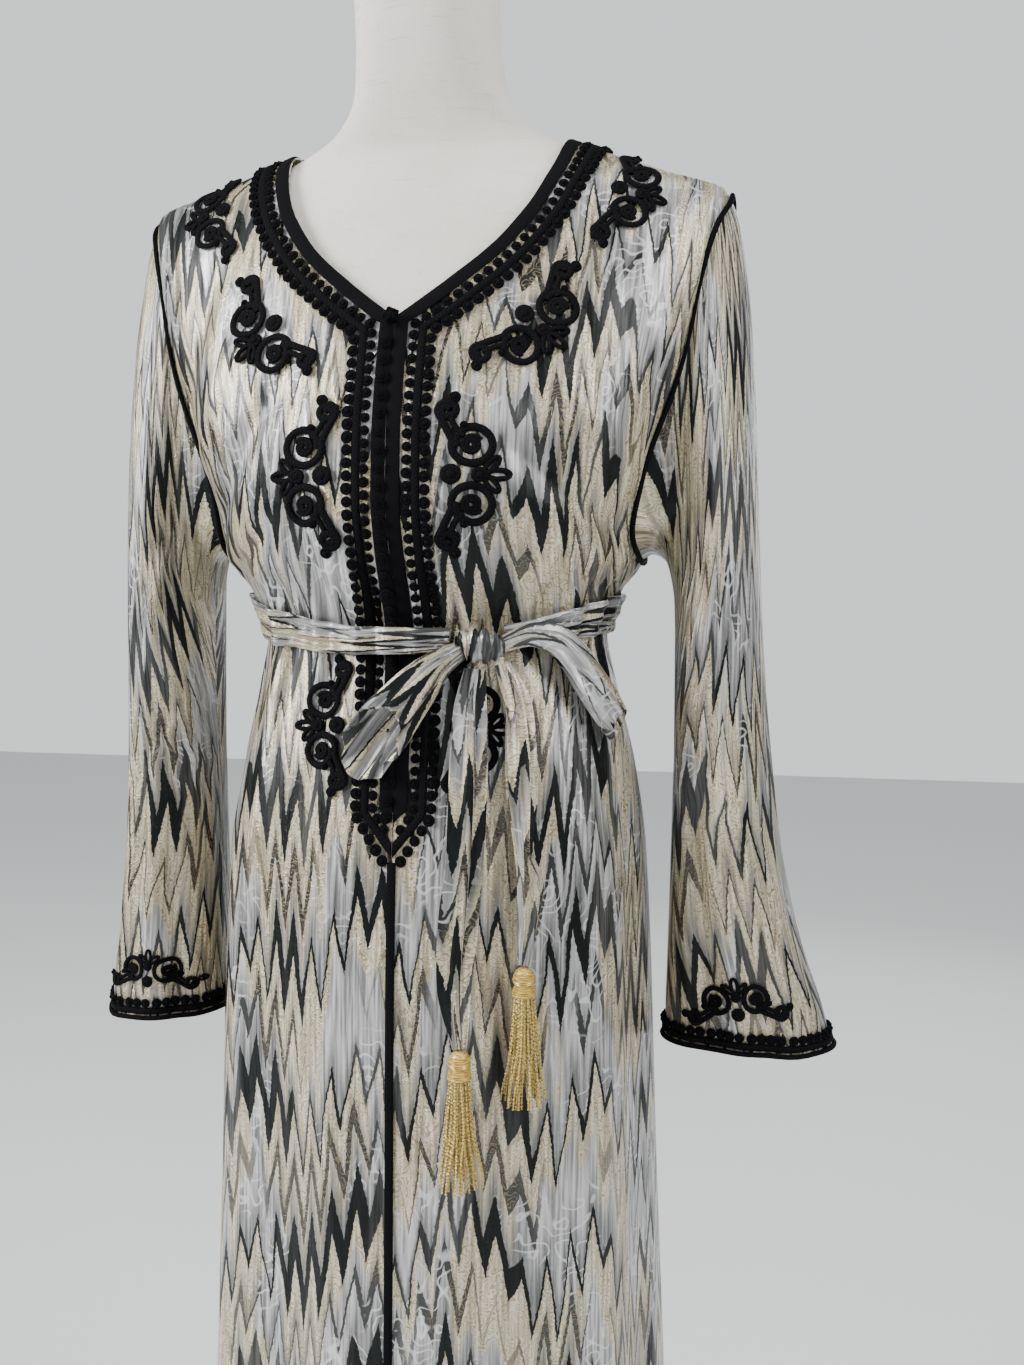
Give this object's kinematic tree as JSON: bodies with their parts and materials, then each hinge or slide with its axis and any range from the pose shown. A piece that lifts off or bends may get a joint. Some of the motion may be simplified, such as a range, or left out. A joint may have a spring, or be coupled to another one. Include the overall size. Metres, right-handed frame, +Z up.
{
  "type": "moroccan kaftan on a dress form",
  "caption": "Long satin kaftan with a V neck, black braided trim and scroll motifs, a tied sash with gold tassels, worn by a limbless dress form on a pole and base.",
  "frame": {"origin": "centre of the base's underside, on the floor", "axes": "+Z up along the pole, -Y out of the kaftan's front, +X towards the right of somebody looking at the front"},
  "size_m": [0.6176, 0.3492, 1.562],
  "materials": {
    "satin_jacquard": "satin sheen",
    "black_silk_braid": "matte braided cord",
    "gold_thread": "metallic thread",
    "linen_canvas": "matte canvas",
    "painted_steel": "satin paint"
  },
  "bodies": {
    "root": {"armhole_piping_left": "black_silk_braid", "armhole_piping_right": "black_silk_braid", "back": "satin_jacquard", "back_neck_band": "black_silk_braid", "back_neck_braid": "black_silk_braid", "back_neck_picots": "black_silk_braid", "belt": "satin_jacquard", "belt_knot": "satin_jacquard", "belt_tail_left": "satin_jacquard", "belt_tail_right": "satin_jacquard", "bow_loop_left": "satin_jacquard", "bow_loop_right": "satin_jacquard", "cuff_braid_left": "black_silk_braid", "cuff_braid_right": "black_silk_braid", "form_base": "painted_steel", "form_neck_cap": "linen_canvas", "form_pole": "painted_steel", "form_torso": "linen_canvas", "front_braid": "black_silk_braid", "front_left": "satin_jacquard", "front_right": "satin_jacquard", "knot_buttons": "black_silk_braid", "motif_bust_left": "black_silk_braid", "motif_bust_right": "black_silk_braid", "motif_chest_left": "black_silk_braid", "motif_chest_right": "black_silk_braid", "motif_cuff_left": "black_silk_braid", "motif_cuff_right": "black_silk_braid", "motif_shoulder_left": "black_silk_braid", "motif_shoulder_right": "black_silk_braid", "motif_waist_left": "black_silk_braid", "motif_waist_right": "black_silk_braid", "neck_button": "black_silk_braid", "placket_band_left": "black_silk_braid", "placket_band_right": "black_silk_braid", "placket_braid_left": "black_silk_braid", "placket_braid_right": "black_silk_braid", "placket_picots_left": "black_silk_braid", "placket_picots_right": "black_silk_braid", "sleeve_left": "satin_jacquard", "sleeve_right": "satin_jacquard", "tassel_left": "gold_thread", "tassel_right": "gold_thread"}
  },
  "joints": []
}
